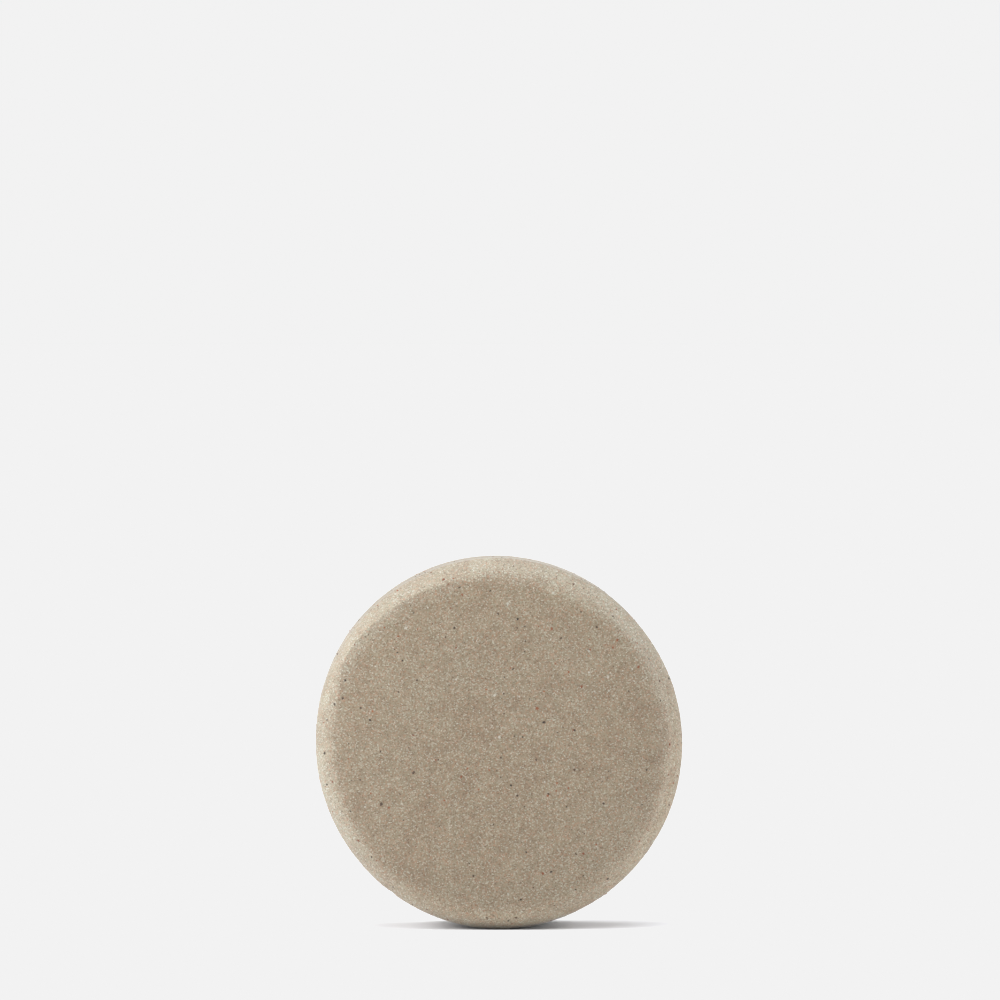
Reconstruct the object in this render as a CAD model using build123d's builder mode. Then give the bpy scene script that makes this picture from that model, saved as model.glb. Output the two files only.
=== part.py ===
"""Shaving soap puck: one moulded disc of clay soap, with mineral grains set flush in its skin.

The puck stands on its edge. X runs across the disc, Y runs along its axis from the front face to
the back face, and Z is up. The origin is on the floor, under the middle of the disc, where the
edge touches down. All lengths are in millimetres and all angles are in degrees.
"""
from build123d import *

import math
import os
import random

# Driving dimensions of the disc
DIAMETER = 70.0
THICKNESS = 25.0
EDGE_ROUNDING = 3.5  # both edges, rounded by the mould

# Mineral grains: widths across at the skin, and the shape that they share
DARK_WIDTHS = (0.64, 0.52)
RUST_WIDTHS = (0.60, 0.48)
PALE_WIDTHS = (0.70, 0.52)
GRAIN_DEPTH_RATIO = 0.7  # depth as a part of the width
GRAIN_TAPER = 16
GRAIN_TILT = 12
GRAIN_PROUD = 0.1  # stands out this far before the mould wall cuts it flush
GRAIN_SPACING = 1.2  # least distance between two grains
FOOT_CLEARANCE = 1.5  # height above the floor that is left bare of grains
DARK_ON_EDGE_AND_BACK = 22
RUST_ON_EDGE_AND_BACK = 19
PALE_ALL_OVER = 64
SCATTER_SEED = 7

# The larger grains of the front face: (across, up) from the middle of the disc
DARK_ON_FRONT = [
    (8.4, 4.5), (14.2, 3.0), (14.2, -4.5), (0.3, -2.2), (-16.2, -5.0),
    (9.3, -9.0), (-22.3, -11.0), (5.1, -20.1), (14.5, -20.5), (2.6, 14.6),
    (-8.5, 22.3), (-1.7, 29.4), (19.7, -10.9), (4.1, -29.2), (-5.7, -22.2),
    (2.2, -7.4), (11.7, 20.4), (-29.3, 12.4), (-29.8, 9.0), (-33.8, 5.1),
]
RUST_ON_FRONT = [
    (9.9, 22.2), (7.4, 22.6), (22.5, 20.1), (13.1, 14.0), (15.5, 11.2),
    (-0.6, 11.9), (7.1, 7.1), (-1.9, -4.5), (-7.2, -5.8), (27.7, -18.9),
    (8.2, -24.1), (-32.8, -7.0), (-27.7, -18.7), (-23.9, -22.5), (-10.7, 32.3),
    (-8.9, 32.4), (26.6, 15.0),
]

# Worked out from the driving dimensions
RADIUS = DIAMETER / 2
FACE_RADIUS = RADIUS - EDGE_ROUNDING
BEND_LENGTH = EDGE_ROUNDING * math.pi / 2
WALL_LENGTH = THICKNESS - 2 * EDGE_ROUNDING
SKIN_LENGTH = 2 * (FACE_RADIUS + BEND_LENGTH) + WALL_LENGTH

chance = random.Random(SCATTER_SEED)


def front_half(travel):
    """Radius, depth behind the front face and lean of the normal, at a distance along the skin.

    The distance is measured from the middle of the front face outwards, round the rounded edge
    and along the side wall. The lean is 0 where the skin faces forward and 90 where it faces
    outward.
    """
    if travel <= FACE_RADIUS:
        return travel, 0.0, 0.0
    if travel <= FACE_RADIUS + BEND_LENGTH:
        lean = (travel - FACE_RADIUS) / EDGE_ROUNDING
        radius = FACE_RADIUS + EDGE_ROUNDING * math.sin(lean)
        depth = EDGE_ROUNDING * (1 - math.cos(lean))
        return radius, depth, math.degrees(lean)
    return RADIUS, EDGE_ROUNDING + travel - FACE_RADIUS - BEND_LENGTH, 90.0


def skin_plane(travel, bearing):
    """Plane that touches the skin, at a distance along it and a bearing round the disc from +X."""
    on_front = travel <= SKIN_LENGTH / 2
    radius, depth, lean = front_half(travel if on_front else SKIN_LENGTH - travel)
    side = -1 if on_front else 1
    outward = Vector(math.cos(math.radians(bearing)), 0, math.sin(math.radians(bearing)))
    axial = Vector(0, side, 0)
    middle = Vector(0, 0, RADIUS)
    point = middle + outward * radius + axial * (THICKNESS / 2 - depth)
    normal = outward * math.sin(math.radians(lean)) + axial * math.cos(math.radians(lean))
    return Plane(origin=point, z_dir=normal)


def front_plane(across, up):
    """Plane that touches the front of the skin at a point given from the middle of the disc."""
    radius = math.hypot(across, up)
    travel = radius
    if radius > FACE_RADIUS:
        travel = FACE_RADIUS + EDGE_ROUNDING * math.asin((radius - FACE_RADIUS) / EDGE_ROUNDING)
    return skin_plane(travel, math.degrees(math.atan2(up, across)))


def scatter(count, taken, first_travel=0.0):
    """Touching planes spread evenly over the skin, clear of the foot and of the planes taken."""
    planes = []
    while len(planes) < count:
        travel = chance.uniform(first_travel, SKIN_LENGTH)
        radius = front_half(min(travel, SKIN_LENGTH - travel))[0]
        plane = skin_plane(travel, chance.uniform(0, 360))
        crowded = any((plane.origin - other.origin).length < GRAIN_SPACING for other in taken)
        if chance.random() > radius / RADIUS or crowded or plane.origin.Z < FOOT_CLEARANCE:
            continue
        planes.append(plane)
        taken.append(plane)
    return planes


def grain(width, sides):
    """One angular grain: a broad outer end at the skin, narrowing into the soap."""
    with BuildPart() as stone:
        with BuildSketch(Plane.XY.offset(GRAIN_PROUD)):
            RegularPolygon(width / 2, sides)
        extrude(amount=-width * GRAIN_DEPTH_RATIO, taper=GRAIN_TAPER)
    return stone.part


def bedded(plane):
    """Location of a grain bedded at the plane, spun and tilted a little at random."""
    tilt = Rotation(chance.uniform(-GRAIN_TILT, GRAIN_TILT), chance.uniform(-GRAIN_TILT, GRAIN_TILT))
    return plane.location * Rotation(0, 0, chance.uniform(0, 360)) * tilt


def grain_beds(planes, widths):
    """Pairs of a grain and the locations it is bedded at, one pair for each width."""
    beds = []
    for index, width in enumerate(widths):
        places = [bedded(plane) for plane in planes[index::len(widths)]]
        beds.append((grain(width, 4 + index), places))
    return beds


front_dark = [front_plane(*spot) for spot in DARK_ON_FRONT]
front_rust = [front_plane(*spot) for spot in RUST_ON_FRONT]
taken = front_dark + front_rust
dark_planes = front_dark + scatter(DARK_ON_EDGE_AND_BACK, taken, first_travel=FACE_RADIUS)
rust_planes = front_rust + scatter(RUST_ON_EDGE_AND_BACK, taken, first_travel=FACE_RADIUS)
pale_planes = scatter(PALE_ALL_OVER, taken)

# The disc as it leaves the mould, before the grains take their places in it
with BuildPart() as moulded_disc:
    with BuildSketch(Plane.XZ):
        with Locations((0, RADIUS)):
            Circle(RADIUS)
    extrude(amount=THICKNESS / 2, both=True)
    fillet(moulded_disc.edges().filter_by(GeomType.CIRCLE), EDGE_ROUNDING)

dark_beds = grain_beds(dark_planes, DARK_WIDTHS)
rust_beds = grain_beds(rust_planes, RUST_WIDTHS)
pale_beds = grain_beds(pale_planes, PALE_WIDTHS)

# Each group of grains is cut flush by the mould wall, so no grain stands out of the disc
with BuildPart() as dark_grains:
    for stone, places in dark_beds:
        with Locations(*places):
            add(stone)
    add(moulded_disc.part, mode=Mode.INTERSECT)

with BuildPart() as rust_grains:
    for stone, places in rust_beds:
        with Locations(*places):
            add(stone)
    add(moulded_disc.part, mode=Mode.INTERSECT)

with BuildPart() as pale_grains:
    for stone, places in pale_beds:
        with Locations(*places):
            add(stone)
    add(moulded_disc.part, mode=Mode.INTERSECT)

# The soap fills the disc everywhere round the grains
with BuildPart() as soap_body:
    add(moulded_disc.part)
    add(dark_grains.part, mode=Mode.SUBTRACT)
    add(rust_grains.part, mode=Mode.SUBTRACT)
    add(pale_grains.part, mode=Mode.SUBTRACT)

soap_body.part.label = "soap_body"
dark_grains.part.label = "dark_grains"
rust_grains.part.label = "rust_grains"
pale_grains.part.label = "pale_grains"

os.makedirs("parts", exist_ok=True)
export_step(soap_body.part, "parts/soap_body.step")
export_step(dark_grains.part, "parts/dark_grains.step")
export_step(rust_grains.part, "parts/rust_grains.step")
export_step(pale_grains.part, "parts/pale_grains.step")

print(f"soap {soap_body.part.volume / 1000:.2f} cm3 in {len(soap_body.part.solids())} solid")
for group in (dark_grains, rust_grains, pale_grains):
    print(f"{group.part.label}: {len(group.part.solids())} grains, {group.part.volume:.2f} mm3")
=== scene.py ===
"""Looks of the shaving soap puck: a fine mesh of the moulded soap, its mineral grains and the studio.

Lengths in the shape code are millimetres measured from the middle of the disc: x across, y from the
front face to the back face, z up. They become metres in the frame of the model when a mesh is made.
A bearing is an angle round the disc as seen from the front: 0 to the right, 90 at the top.
"""
import math

import bmesh
import bpy
import numpy as np
from mathutils import Matrix, Vector, noise
from mathutils.bvhtree import BVHTree


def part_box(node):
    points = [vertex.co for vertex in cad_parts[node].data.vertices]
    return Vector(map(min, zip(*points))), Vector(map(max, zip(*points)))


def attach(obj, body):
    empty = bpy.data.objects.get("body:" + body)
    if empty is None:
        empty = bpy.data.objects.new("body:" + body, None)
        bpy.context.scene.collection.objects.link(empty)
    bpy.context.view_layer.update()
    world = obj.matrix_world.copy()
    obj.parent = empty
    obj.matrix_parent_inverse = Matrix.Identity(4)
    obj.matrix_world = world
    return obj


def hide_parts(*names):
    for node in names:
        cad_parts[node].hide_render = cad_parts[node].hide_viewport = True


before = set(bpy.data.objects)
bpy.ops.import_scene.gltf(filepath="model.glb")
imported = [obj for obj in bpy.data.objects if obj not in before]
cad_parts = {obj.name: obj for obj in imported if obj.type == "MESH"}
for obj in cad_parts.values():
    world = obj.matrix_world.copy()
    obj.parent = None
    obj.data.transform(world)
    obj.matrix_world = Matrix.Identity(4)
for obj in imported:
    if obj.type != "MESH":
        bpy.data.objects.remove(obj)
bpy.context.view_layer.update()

MM = 0.001
BODY = "root"
soap_low, soap_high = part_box("soap_body")
MIDDLE = (soap_low + soap_high) / 2
RADIUS = (soap_high.x - soap_low.x) / 2 / MM
HALF_THICKNESS = (soap_high.y - soap_low.y) / 2 / MM

# ---------------------------------------------------------------- shape of the soap

CAP_CELLS = 148  # cells across the grid that covers each face
EDGE_RINGS = 22  # rings of cells on each rounded edge
WALL_RINGS = 26  # rings of cells on the side wall
CAP_MARGIN = 5.2  # width of the band of a cap whose cells follow the outline instead of a circle
FRONT_DEPTH = 3.6
FACET_FULLNESS = 1.2
BACK_DEPTH = 3.4
BACK_FULLNESS = 2.0
ROUND_CELLS = 0.6  # part of a cap, from its middle out, whose cells keep to true circles
CROWN_START = 13  # distance from the middle at which the front face starts to fall away
CROWN_LENGTH = 17  # distance from there to where it has fallen by the full amount
NICK_BEARING = 234.5
NICK_WIDTH = 2.0  # in degrees to either side
NICK_DEPTH = 0.18
LIP_REGION = 3.0  # depth behind the front face that the ridge and groove stay within


def bump(bearing, centre, width):
    """Smooth hump of height 1 round a bearing, gone at the width on either side."""
    off = (bearing - centre + 180) % 360 - 180
    return np.where(np.abs(off) < width, 0.5 + 0.5 * np.cos(np.pi * off / width), 0.0)


def ramp(value, start, end):
    """0 before the start, 1 after the end, smooth between."""
    t = np.clip((value - start) / (end - start), 0, 1)
    return t * t * (3 - 2 * t)


def outline_radius(bearing):
    """Radius of the soap at a bearing: a circle, slumped a little out of round."""
    radius = RADIUS + 0.24 * np.cos(2 * np.radians(bearing - 106))
    radius = radius + 0.08 * np.cos(3 * np.radians(bearing - 104))
    radius = radius + 0.03 * np.cos(4 * np.radians(bearing - 90))
    radius = radius + 0.08 * np.sin(3 * np.radians(bearing)) + 0.06 * bump(bearing, -48, 45)
    radius = radius - 0.13 * bump(bearing, 95, 75)
    return radius


def front_edge(bearing):
    """Reach, depth and fullness of the front edge's rounding at a bearing.

    The reach is how far in from the outline the face starts to fall away, the depth how far back
    the rounding ends. A fullness of 2 is a round edge, and nearer 1 is closer to a flat chamfer.
    The upper left of the edge is worn to a slanting facet that narrows towards the left.
    """
    facet = ramp(bearing, 93, 104) * (1 - ramp(bearing, 147, 168))
    reach = 3.4 + 1.8 * bump(bearing, 80, 50) + 1.9 * bump(bearing, -15, 80) - 0.9 * bump(bearing, 270, 35)
    slant = 3.7 - 2.4 * np.clip((bearing - 98) / 56, 0, 1)
    fullness = 1.5 + 0.25 * bump(bearing, 290, 60)
    reach = reach + (slant - reach) * facet
    fullness = fullness + (FACET_FULLNESS - fullness) * facet
    return reach, FRONT_DEPTH, fullness


def lip_relief(bearing, inward):
    """Low ridge and narrow groove that run along the right of the front edge, by distance inward."""
    along = np.clip(bump(bearing, -12, 88) * 1.6, 0, 1)
    inward = inward + 0.5 * bump(bearing, -65, 45)
    ridge = 0.12 * np.exp(-((inward - 3.05) / 0.75) ** 2)
    groove = -0.20 * np.exp(-((inward - 1.85) / 0.5) ** 2)
    return along * (ridge + groove)


def crown(distance, bearing):
    """How far the front face has fallen away from flat, by distance from its middle and bearing."""
    fall = 1.25 - 0.6 * bump(bearing, 124, 62) - 0.4 * bump(bearing, -85, 60) + 0.25 * bump(bearing, -5, 50)
    return fall * np.clip((distance - CROWN_START) / CROWN_LENGTH, 0, 1.3) ** 3


def back_edge(bearing):
    """Reach, depth and fullness of the back edge's rounding, which is plainly round."""
    reach = 4.6 + 0.4 * bump(bearing, 200, 90)
    return reach, BACK_DEPTH, BACK_FULLNESS


def edge_curve(turn, reach, depth, fullness):
    """Inward distance and setback of a rounded edge, for a turn from 0 at the face to 1 at the wall."""
    angle = turn * np.pi / 2
    out = reach * np.sin(angle) ** (2 / fullness)
    back = depth * (1 - np.cos(angle) ** (2 / fullness))
    return reach - out, back


def cap_grid():
    """Radius as a part of the cap and bearing, for a square grid of points bent into a disc."""
    steps = np.linspace(-1, 1, CAP_CELLS + 1)
    a, b = np.meshgrid(steps, steps, indexing="ij")
    wide = np.abs(a) >= np.abs(b)
    main = np.where(wide, a, b)
    other = np.where(wide, b, a)
    ratio = np.divide(other, main, out=np.zeros_like(main), where=main != 0)
    angle = np.where(wide, np.pi / 4 * ratio, np.pi / 2 - np.pi / 4 * ratio)
    angle = np.where(main < 0, angle + np.pi, angle)
    return np.abs(main), np.degrees(angle) % 360


def soap_points():
    """Points and faces of the soap's skin, with the outline's grid points shared by caps and rim."""
    part, bearing = cap_grid()
    count = CAP_CELLS + 1
    index = np.arange(count * count).reshape(count, count)
    quads = np.stack([index[:-1, :-1], index[1:, :-1], index[1:, 1:], index[:-1, 1:]], -1).reshape(-1, 4)
    loop = np.concatenate([index[:-1, 0], index[-1, :-1], index[:0:-1, -1], index[0, :0:-1]])

    def cap(edge, side):
        reach = edge(bearing)[0]
        even = part * (RADIUS - CAP_MARGIN)
        stretch = outline_radius(bearing) - reach - RADIUS + CAP_MARGIN
        radius = even + stretch * ramp(part, ROUND_CELLS, 1.0)
        a = np.radians(bearing)
        return np.stack([radius * np.cos(a), np.full_like(a, side * HALF_THICKNESS), radius * np.sin(a)], -1)

    front = cap(front_edge, -1).reshape(-1, 3)
    back = cap(back_edge, 1).reshape(-1, 3)
    ring_bearing = bearing.reshape(-1)[loop]
    outline = outline_radius(ring_bearing)
    a = np.radians(ring_bearing)
    rings = []

    def ring(radius, y):
        rings.append(np.stack([radius * np.cos(a), y + 0 * a, radius * np.sin(a)], -1))

    reach, depth, fullness = front_edge(ring_bearing)
    for step in range(1, EDGE_RINGS + 1):
        inward, setback = edge_curve(step / EDGE_RINGS, reach, depth, fullness)
        ring(outline - inward, setback - HALF_THICKNESS)
    back_reach, back_depth, back_fullness = back_edge(ring_bearing)
    for step in range(1, WALL_RINGS):
        start, end = depth - HALF_THICKNESS, HALF_THICKNESS - back_depth
        ring(outline, start + (end - start) * step / WALL_RINGS)
    for step in range(EDGE_RINGS, 0, -1):
        inward, setback = edge_curve(step / EDGE_RINGS, back_reach, back_depth, back_fullness)
        ring(outline - inward, HALF_THICKNESS - setback)

    points = np.concatenate([front, back] + rings)
    total = len(front)
    faces = [quads, quads[:, ::-1] + total]
    around = len(loop)
    ids = [loop] + [2 * total + k * around + np.arange(around) for k in range(len(rings))] + [loop + total]
    for near, far in zip(ids, ids[1:]):
        faces.append(np.stack([near, far, np.roll(far, -1), np.roll(near, -1)], -1))
    return points, np.concatenate(faces)


def skin_relief(points):
    """How far the skin stands in or out at each point: waves, sand, crumbly edges, nick and lip."""
    relief = np.zeros(len(points))
    for i, (x, y, z) in enumerate(points):
        p = Vector((x, y, z))
        waves = 0.05 * noise.noise(p / 16) + 0.03 * noise.noise(p / 6 + Vector((9, 0, 0)))
        sand = 0.016 * noise.noise(p / 0.9) + 0.012 * noise.noise(p / 0.45)
        out = math.hypot(x, z) / RADIUS
        crumbs = 0.05 * noise.noise(p / 0.75 + Vector((0, 30, 0))) * min(max((out - 0.86) / 0.06, 0), 1)
        relief[i] = waves + sand + crumbs
    bearing = np.degrees(np.arctan2(points[:, 2], points[:, 0])) % 360
    inward = outline_radius(bearing) - np.hypot(points[:, 0], points[:, 2])
    behind = points[:, 1] + HALF_THICKNESS
    relief -= NICK_DEPTH * bump(bearing, NICK_BEARING, NICK_WIDTH) * np.exp(-((behind - 3.5) / 1.8) ** 2)
    return relief + np.where(behind < LIP_REGION, lip_relief(bearing, inward), 0.0)


def make_soap():
    """The soap's object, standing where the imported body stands, with its lowest point on the floor."""
    points, faces = soap_points()
    mesh = bpy.data.meshes.new("soap_skin")
    mesh.from_pydata(points.tolist(), [], faces.tolist())
    mesh.update()
    normals = np.array([v.vector[:] for v in mesh.vertex_normals])
    points = points + normals * skin_relief(points)[:, None]
    fade = np.clip((HALF_THICKNESS - points[:, 1]) / (2 * HALF_THICKNESS), 0, 1)
    bearing = np.degrees(np.arctan2(points[:, 2], points[:, 0]))
    points[:, 1] += crown(np.hypot(points[:, 0], points[:, 2]), bearing) * fade
    points[:, 2] -= points[:, 2].min() + RADIUS
    mesh.vertices.foreach_set("co", (points * MM + np.array(MIDDLE)).astype(np.float32).reshape(-1))
    mesh.shade_smooth()
    mesh.update()
    soap = bpy.data.objects.new("soap_skin", mesh)
    bpy.context.collection.objects.link(soap)
    return soap


soap = make_soap()
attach(soap, BODY)
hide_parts("soap_body")

# ---------------------------------------------------------------- mineral grains

GRAIN_SEED = 11
FOOT_CLEARANCE = 0.8  # height above the floor, in millimetres, that is left bare of grains
SAME_GRAIN = 0.95  # corners of one packed grain lie within this many millimetres of its first one
COARSE_WIDTH = 0.4  # grains wider than this many millimetres get the finer ball
DARK_SUNK = 0.21  # depth of a grain's middle under the skin, as a part of its width
RUST_SUNK = 0.21
PALE_SUNK = 0.24
FINE_DARK = (520, 0.26, 0.58)  # number of finer grains, and their least and greatest width in millimetres
FINE_RUST = (460, 0.26, 0.54)
FINE_PALE = (1600, 0.24, 0.46)


def cad_spots(node):
    """Middle and width of each grain in a node's group, in metres."""
    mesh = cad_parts[node].data
    groups = []
    for vertex in mesh.vertices:
        for group in groups:
            if (group[0] - vertex.co).length < SAME_GRAIN * MM:
                group.append(vertex.co.copy())
                break
        else:
            groups.append([vertex.co.copy()])
    spots = []
    for group in groups:
        middle = sum(group, Vector()) / len(group)
        spots.append((middle, 2 * max((corner - middle).length for corner in group)))
    return spots


def skin_spots(node, tree):
    """The node's grains moved onto the soap's skin: point, outward normal and width."""
    found = []
    for middle, width in cad_spots(node):
        point, normal, _, _ = tree.find_nearest(middle)
        found.append((point, normal, width))
    return found


def fine_spots(mesh, count, narrow, wide, rng):
    """Evenly scattered places for small grains, with widths in millimetres."""
    areas = np.array([face.area for face in mesh.polygons])
    picks = rng.choice(len(areas), size=count, p=areas / areas.sum())
    found = []
    for pick in picks:
        face = mesh.polygons[pick]
        corners = [mesh.vertices[i].co for i in face.vertices]
        u, v = rng.random(2)
        point = corners[0].lerp(corners[1], u).lerp(corners[3].lerp(corners[2], u), v)
        width = (narrow + (wide - narrow) * rng.random() ** 2) * MM
        if point.z > FOOT_CLEARANCE * MM:
            found.append((point, face.normal.copy(), width))
    return found


def unit_ball(subdivisions):
    """Corners and faces of a unit ball, to be knocked out of shape grain by grain."""
    ball = bmesh.new()
    bmesh.ops.create_icosphere(ball, subdivisions=subdivisions, radius=1.0)
    corners = np.array([v.co[:] for v in ball.verts])
    faces = [[v.index for v in f.verts] for f in ball.faces]
    ball.free()
    return corners, faces


def make_grains(name, node, spots, sunk, rng):
    """One mesh of many angular grains, their middles sunk in the skin by a part of their width."""
    fine, coarse = unit_ball(1), unit_ball(2)
    points, faces = [], []
    for point, normal, width in spots:
        corners, sides = coarse if width > COARSE_WIDTH * MM else fine
        knocks = 1 + rng.uniform(-0.2, 0.16, len(corners))
        shape = corners * knocks[:, None] * (1.1, rng.uniform(0.75, 1.1), rng.uniform(0.55, 0.8))
        spin = np.array(Matrix.Rotation(rng.uniform(0, 2 * math.pi), 3, "Z"))
        stand = np.array(normal.to_track_quat("Z", "Y").to_matrix())
        shape = shape @ spin.T @ stand.T * width / 2 + np.array(point - normal * width * sunk)
        faces += [[len(points) + i for i in side] for side in sides]
        points += shape.tolist()
    mesh = bpy.data.meshes.new(name)
    mesh.from_pydata(points, [], faces)
    mesh.update()
    grains = bpy.data.objects.new(name, mesh)
    bpy.context.collection.objects.link(grains)
    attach(grains, BODY)
    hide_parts(node)
    return grains


soap_tree = BVHTree.FromObject(soap, bpy.context.evaluated_depsgraph_get())
grain_rng = np.random.default_rng(GRAIN_SEED)
dark_spots = skin_spots("dark_grains", soap_tree) + fine_spots(soap.data, *FINE_DARK, grain_rng)
dark = make_grains("dark_stones", "dark_grains", dark_spots, DARK_SUNK, grain_rng)
rust_spots = skin_spots("rust_grains", soap_tree) + fine_spots(soap.data, *FINE_RUST, grain_rng)
rust = make_grains("rust_stones", "rust_grains", rust_spots, RUST_SUNK, grain_rng)
pale_spots = skin_spots("pale_grains", soap_tree) + fine_spots(soap.data, *FINE_PALE, grain_rng)
pale = make_grains("pale_stones", "pale_grains", pale_spots, PALE_SUNK, grain_rng)

# ---------------------------------------------------------------- materials


class Nodes:
    """Shorthand for building a material's nodes; numbers and sockets can both be plugged in."""

    def __init__(self, name):
        self.material = bpy.data.materials.new(name)
        self.material.use_nodes = True
        self.tree = self.material.node_tree
        self.shader = self.tree.nodes["Principled BSDF"]
        self.place = self.add("ShaderNodeTexCoord").outputs["Object"]

    def add(self, kind, **settings):
        """A new node with its settings."""
        node = self.tree.nodes.new(kind)
        for key, value in settings.items():
            setattr(node, key, value)
        return node

    def plug(self, value, socket):
        """Link a socket into another, or set a plain value on it."""
        if isinstance(value, bpy.types.NodeSocket):
            self.tree.links.new(value, socket)
        else:
            socket.default_value = value

    def noise(self, per_mm, detail=2.0, roughness=0.5):
        """Noise between 0 and 1, with its scale given in features per millimetre."""
        node = self.add("ShaderNodeTexNoise")
        self.plug(self.place, node.inputs["Vector"])
        self.plug(per_mm / MM, node.inputs["Scale"])
        self.plug(detail, node.inputs["Detail"])
        self.plug(roughness, node.inputs["Roughness"])
        return node.outputs["Fac"]

    def cells(self, per_mm, randomness=1.0):
        """Distance from the nearest cell's middle, and that cell's random colour."""
        node = self.add("ShaderNodeTexVoronoi")
        self.plug(self.place, node.inputs["Vector"])
        self.plug(per_mm / MM, node.inputs["Scale"])
        self.plug(randomness, node.inputs["Randomness"])
        return node.outputs["Distance"], node.outputs["Color"]

    def out_from_middle(self):
        """Distance from the disc's axis."""
        across = self.add("ShaderNodeVectorMath", operation="MULTIPLY_ADD")
        self.plug(self.place, across.inputs[0])
        self.plug((1, 0, 1), across.inputs[1])
        self.plug((-MIDDLE.x, 0, -MIDDLE.z), across.inputs[2])
        length = self.add("ShaderNodeVectorMath", operation="LENGTH")
        self.plug(across.outputs[0], length.inputs[0])
        return length.outputs["Value"]

    def place_parts(self):
        """The place's x, y and z."""
        node = self.add("ShaderNodeSeparateXYZ")
        self.plug(self.place, node.inputs[0])
        return node.outputs

    def split(self, colour):
        """The colour's red, green and blue."""
        node = self.add("ShaderNodeSeparateColor")
        self.plug(colour, node.inputs[0])
        return node.outputs

    def math(self, operation, first, second=0.5, clamp=False):
        """One arithmetic step on two values."""
        node = self.add("ShaderNodeMath", operation=operation, use_clamp=clamp)
        self.plug(first, node.inputs[0])
        self.plug(second, node.inputs[1])
        return node.outputs[0]

    def times(self, first, second):
        """Product of two values."""
        return self.math("MULTIPLY", first, second)

    def remap(self, value, low, high, to_low=0.0, to_high=1.0):
        """Smooth step of a value, from one tone at its low end to another at its high end."""
        node = self.add("ShaderNodeMapRange", interpolation_type="SMOOTHSTEP")
        self.plug(value, node.inputs["Value"])
        self.plug(low, node.inputs["From Min"])
        self.plug(high, node.inputs["From Max"])
        self.plug(to_low, node.inputs["To Min"])
        self.plug(to_high, node.inputs["To Max"])
        return node.outputs["Result"]

    def mix(self, factor, first, second, blend="MIX"):
        """The first colour turned towards the second by a factor."""
        node = self.add("ShaderNodeMix", data_type="RGBA", blend_type=blend)
        self.plug(factor, node.inputs[0])
        self.plug(first, node.inputs[6])
        self.plug(second, node.inputs[7])
        return node.outputs[2]

    def bump(self, height, distance_mm, strength):
        """Fine relief that is too small for the mesh."""
        node = self.add("ShaderNodeBump")
        self.plug(strength, node.inputs["Strength"])
        self.plug(distance_mm * MM, node.inputs["Distance"])
        self.plug(height, node.inputs["Height"])
        self.plug(node.outputs[0], self.shader.inputs["Normal"])


def rgb(red, green, blue):
    """A colour from its everyday 0 to 255 values, made linear."""
    def linear(value):
        value = value / 255
        return value / 12.92 if value <= 0.04045 else ((value + 0.055) / 1.055) ** 2.4

    return linear(red), linear(green), linear(blue), 1.0


SOAP_TONE = 0.747  # brings the soap's colours, as they look when lit, down to those of the soap itself
SOAP_TINT = (0.99, 1.0, 0.98)
PAINTED_EDGE_LIGHT_START = 29.3 * MM  # distance from the disc's axis at which the painted light on the rounded edges starts
PAINTED_EDGE_LIGHT_END = 34.3 * MM
PAINTED_EDGE_LIGHT_LOWER_RIGHT = (1.47, 1.51, 1.55, 1.0)  # what the edges multiply the soap's colour by, to paint light on them
PAINTED_EDGE_LIGHT_UPPER_LEFT = (1.33, 1.46, 1.62, 1.0)
PAINTED_FOOT_SHADE = (0.55, 0.5, 0.46, 1.0)  # what the foot multiplies it by, a painted shade where it meets the floor


def soap_rgb(red, green, blue):
    """A colour of the soap from its everyday 0 to 255 values, made linear and toned down."""
    parts = rgb(red, green, blue)[:3]
    return *(SOAP_TONE * part * tint for part, tint in zip(parts, SOAP_TINT)), 1.0


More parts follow.
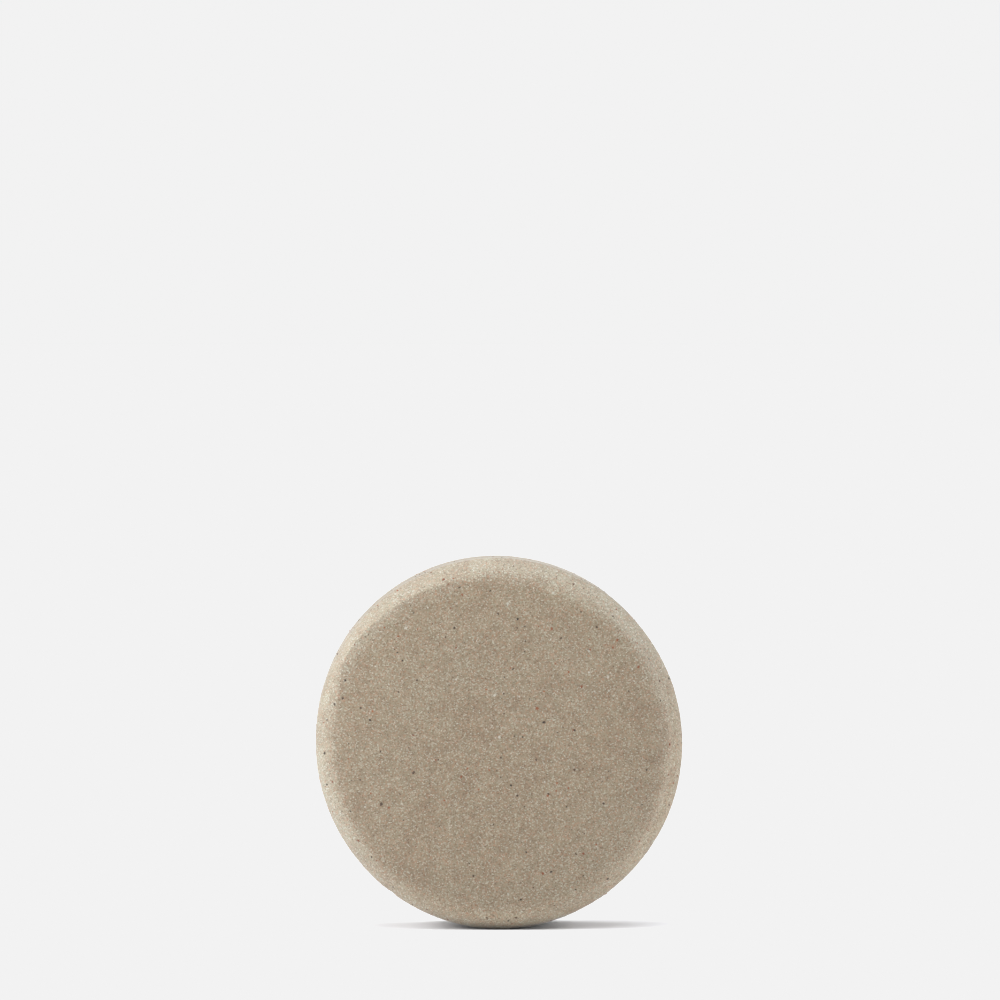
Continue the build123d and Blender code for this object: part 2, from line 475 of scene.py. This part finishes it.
def clay_soap():
    """The soap's material: sandy clay, with scattered larger grains and painted light that makes the edges
    paler.
    """
    n = Nodes("clay_soap")
    body = n.mix(n.remap(n.noise(0.25, 3.0), 0.35, 0.65), soap_rgb(137, 120, 99), soap_rgb(149, 134, 112))
    body = n.mix(n.remap(n.noise(0.04, 2.0), 0.35, 0.65, 0.0, 0.5), body, soap_rgb(150, 137, 116))
    # sand: each cell is one grain, with a tone of its own
    distance, colour = n.cells(4.6)
    tone = n.split(colour)
    core = n.remap(distance, 0.30, 0.75, 1.0, 0.25)
    body = n.mix(n.times(core, n.remap(tone[0], 0.45, 0.0, 0.0, 0.77)), body, soap_rgb(100, 74, 52))
    body = n.mix(n.times(core, n.remap(tone[0], 0.58, 1.0, 0.0, 0.70)), body, soap_rgb(188, 186, 170))
    body = n.mix(n.remap(tone[1], 0.70, 1.0, 0.0, 0.60), body, soap_rgb(164, 122, 96))
    body = n.mix(n.remap(tone[2], 0.75, 1.0, 0.0, 0.50), body, soap_rgb(134, 130, 106))
    # scattered larger grains, dark, rusty and pale
    far, kind = n.cells(1.9)
    pick = n.split(kind)
    round_spot = n.remap(far, 0.14, 0.26, 1.0, 0.0)
    dark = n.times(round_spot, n.remap(pick[0], 0.80, 0.88))
    rusty = n.times(round_spot, n.remap(pick[1], 0.82, 0.90))
    pale = n.times(round_spot, n.remap(pick[2], 0.86, 0.94))
    body = n.mix(n.times(dark, 0.7), body, soap_rgb(70, 58, 47))
    body = n.mix(n.times(rusty, 0.6), body, soap_rgb(140, 84, 56))
    body = n.mix(n.times(pale, 0.8), body, soap_rgb(196, 192, 176))
    # painted light: the rounded edges are brightened, most towards the upper left where the lamps fall and
    # least towards the foot
    x, y, z = n.place_parts()
    upward = n.math("ADD", z, n.times(x, -0.6))
    near_edge = n.remap(n.math("ABSOLUTE", y), 4 * MM, 9 * MM)
    painted_edge_light = n.times(n.remap(n.out_from_middle(), PAINTED_EDGE_LIGHT_START, PAINTED_EDGE_LIGHT_END), near_edge)
    painted_edge_light = n.times(painted_edge_light, n.remap(upward, -32 * MM, 6 * MM, 0.2, 1.0))
    painted_edge_light = n.times(painted_edge_light, n.remap(z, 0.0, 3 * MM, 0.2, 1.0))
    painted_edge_light = n.times(painted_edge_light, n.remap(n.noise(0.35, 3.0), 0.3, 0.7, 0.75, 1.0))
    painted_edge_light_colour = n.mix(n.remap(upward, 0.0, 40 * MM), PAINTED_EDGE_LIGHT_LOWER_RIGHT, PAINTED_EDGE_LIGHT_UPPER_LEFT)
    body = n.mix(painted_edge_light, body, painted_edge_light_colour, "MULTIPLY")
    # painted shade: the foot is darkened where it touches the floor, standing in for its contact shadow
    body = n.mix(n.remap(z, 0.0, 1.6 * MM, 0.6, 0.0), body, PAINTED_FOOT_SHADE, "MULTIPLY")
    n.plug(body, n.shader.inputs["Base Color"])
    n.plug(n.remap(n.noise(1.4, 2.0), 0.3, 0.7, 0.52, 0.70), n.shader.inputs["Roughness"])
    n.plug(0.40, n.shader.inputs["Specular IOR Level"])
    n.plug(0.22, n.shader.inputs["Sheen Weight"])
    n.plug(0.5, n.shader.inputs["Sheen Roughness"])
    n.plug((0.98, 1.0, 0.99, 1.0), n.shader.inputs["Sheen Tint"])
    n.plug(0.10, n.shader.inputs["Subsurface Weight"])
    n.plug((0.9, 0.6, 0.4), n.shader.inputs["Subsurface Radius"])
    n.plug(0.5 * MM, n.shader.inputs["Subsurface Scale"])
    grain_top = n.times(n.remap(distance, 0.0, 0.65, 1.0, 0.0), tone[0])
    height = n.math("ADD", n.times(grain_top, 0.6), n.times(n.noise(2.2, 3.0), 0.8))
    n.bump(height, 0.04, 0.6)
    return n.material


def mineral(name, deep, light, roughness):
    """A grain's material: two tones that change from grain to grain, with a fine mottle."""
    n = Nodes(name)
    tone = n.split(n.cells(0.9)[1])[0]
    mottle = n.noise(6.0, 2.0)
    blend = n.math("ADD", n.times(tone, 0.7), n.times(mottle, 0.4), clamp=True)
    colour = n.mix(blend, deep, light)
    n.plug(colour, n.shader.inputs["Base Color"])
    n.plug(n.remap(mottle, 0.3, 0.7, roughness - 0.1, roughness + 0.1), n.shader.inputs["Roughness"])
    n.bump(mottle, 0.02, 0.5)
    return n.material


soap.data.materials.append(clay_soap())
dark.data.materials.append(mineral("dark_mineral", rgb(22, 17, 14), rgb(80, 60, 44), 0.55))
rust.data.materials.append(mineral("rust_mineral", rgb(92, 44, 26), rgb(138, 84, 54), 0.6))
pale.data.materials.append(mineral("pale_mineral", rgb(142, 138, 124), rgb(168, 165, 152), 0.45))

# ---------------------------------------------------------------- studio

FLOOR_REACH = 30.0  # metres from the middle to each side
FLOOR_COLOUR = (0.83, 0.84, 0.87, 1)
BACKDROP = 0.888  # brightness of the pale surroundings, and the brightest tone the picture shows
BACK_GLOW = 1.0  # light of the pale wall behind the soap

scene = bpy.context.scene


def make_floor():
    """A plain matte floor that reaches past the edges of every view."""
    mesh = bpy.data.meshes.new("floor")
    r = FLOOR_REACH
    mesh.from_pydata([(-r, -r, 0), (r, -r, 0), (r, r, 0), (-r, r, 0)], [], [(0, 1, 2, 3)])
    floor = bpy.data.objects.new("floor", mesh)
    bpy.context.collection.objects.link(floor)
    n = Nodes("pale_floor")
    n.plug(FLOOR_COLOUR, n.shader.inputs["Base Color"])
    n.plug(1.0, n.shader.inputs["Roughness"])
    n.plug(0.0, n.shader.inputs["Specular IOR Level"])
    mesh.materials.append(n.material)


def hang(name, lamp, source):
    """A holder for a lamp that shines from a direction, given as a vector towards it."""
    holder = bpy.data.objects.new(name, lamp)
    holder.rotation_mode = "QUATERNION"
    holder.rotation_quaternion = Vector(source).to_track_quat("Z", "Y")
    bpy.context.collection.objects.link(holder)
    return holder


def sun(name, source, strength, spread):
    """A soft distant lamp, as wide in the sky as its spread in degrees."""
    lamp = bpy.data.lights.new(name, "SUN")
    lamp.energy = strength
    lamp.angle = math.radians(spread)
    hang(name, lamp, source)


def softbox(name, source, distance, strength, width):
    """A round softbox at a distance from the puck's middle, its light given as a sun's strength."""
    lamp = bpy.data.lights.new(name, "AREA")
    lamp.shape = "DISK"
    lamp.size = width
    lamp.energy = strength * math.pi * distance ** 2
    holder = hang(name, lamp, source)
    holder.location = MIDDLE + Vector(source).normalized() * distance
    holder.visible_camera = False


def make_studio():
    """Surroundings that light the soap from behind, and show as one pale tone."""
    world = bpy.data.worlds.new("studio")
    scene.world = world
    world.use_nodes = True
    tree = world.node_tree
    direction = tree.nodes.new("ShaderNodeSeparateXYZ")
    tree.links.new(tree.nodes.new("ShaderNodeTexCoord").outputs["Generated"], direction.inputs[0])
    glow = tree.nodes.new("ShaderNodeMapRange")
    glow.inputs["To Max"].default_value = BACK_GLOW
    tree.links.new(direction.outputs["Y"], glow.inputs["Value"])
    strength = tree.nodes.new("ShaderNodeMapRange")
    strength.inputs["To Max"].default_value = BACKDROP
    tree.links.new(tree.nodes.new("ShaderNodeLightPath").outputs["Is Camera Ray"], strength.inputs["Value"])
    tree.links.new(glow.outputs["Result"], strength.inputs["To Min"])
    tree.links.new(strength.outputs["Result"], tree.nodes["Background"].inputs["Strength"])
    tree.nodes["Background"].inputs["Color"].default_value = (1, 1, 1, 1)


make_studio()
make_floor()
sun("left", (-0.82, -0.11, 0.57), 2.45, 36)
softbox("left_front", (-0.79, -0.55, 0.28), 0.6, 2.05, 0.39)
sun("right", (0.82, -0.07, 0.57), 1.7, 36)
sun("right_front", (0.82, -0.55, 0.04), 1.2, 36)
sun("front_top", (0, -0.5, 0.86), 1.0, 50)
sun("overhead", (0, 0.15, 1), 1.45, 60)

# plain tones, with the floor's highlights held at the tone of the surroundings
scene.view_settings.view_transform = "Standard"
scene.view_settings.use_curve_mapping = True
tones = scene.view_settings.curve_mapping
tones.extend = "HORIZONTAL"
tone_curve = tones.curves[3]
tone_curve.points[1].location = (1.0, BACKDROP)
tone_curve.points.new(BACKDROP, BACKDROP)
for point in tone_curve.points:
    point.handle_type = "VECTOR"
tones.update()

# ---------------------------------------------------------------- camera

SENSOR_WIDTH = 36  # millimetres
CAMERA_DISTANCE = 1.4  # metres from the puck's middle
CAMERA_RISE = 3.3  # degrees above the puck's middle
CAMERA_SIDE = -1.0  # degrees round to the right, so it stands a little to the left
CAMERA_SHIFT = 0.00034  # metres to the right
FRAME_WIDTH = 0.1907  # metres across the picture at the puck
RAISE_IN_VIEW = 0.2423  # how far the picture's middle is above the puck's, as a part of its width

camera_data = bpy.data.cameras.new("camera")
camera_data.sensor_width = SENSOR_WIDTH
camera_data.lens = SENSOR_WIDTH * CAMERA_DISTANCE / FRAME_WIDTH
camera = bpy.data.objects.new("camera", camera_data)
rise, side = math.radians(CAMERA_RISE), math.radians(CAMERA_SIDE)
away = Vector((math.sin(side) * math.cos(rise), -math.cos(side) * math.cos(rise), math.sin(rise)))
camera.location = MIDDLE + Vector((CAMERA_SHIFT, 0, 0)) + away * CAMERA_DISTANCE
aim_lift = math.atan(RAISE_IN_VIEW * FRAME_WIDTH / CAMERA_DISTANCE)
camera.rotation_euler = (math.pi / 2 - rise + aim_lift, 0, side)
camera_data.clip_start = 0.01
camera_data.clip_end = 200
bpy.context.collection.objects.link(camera)
bpy.context.scene.camera = camera
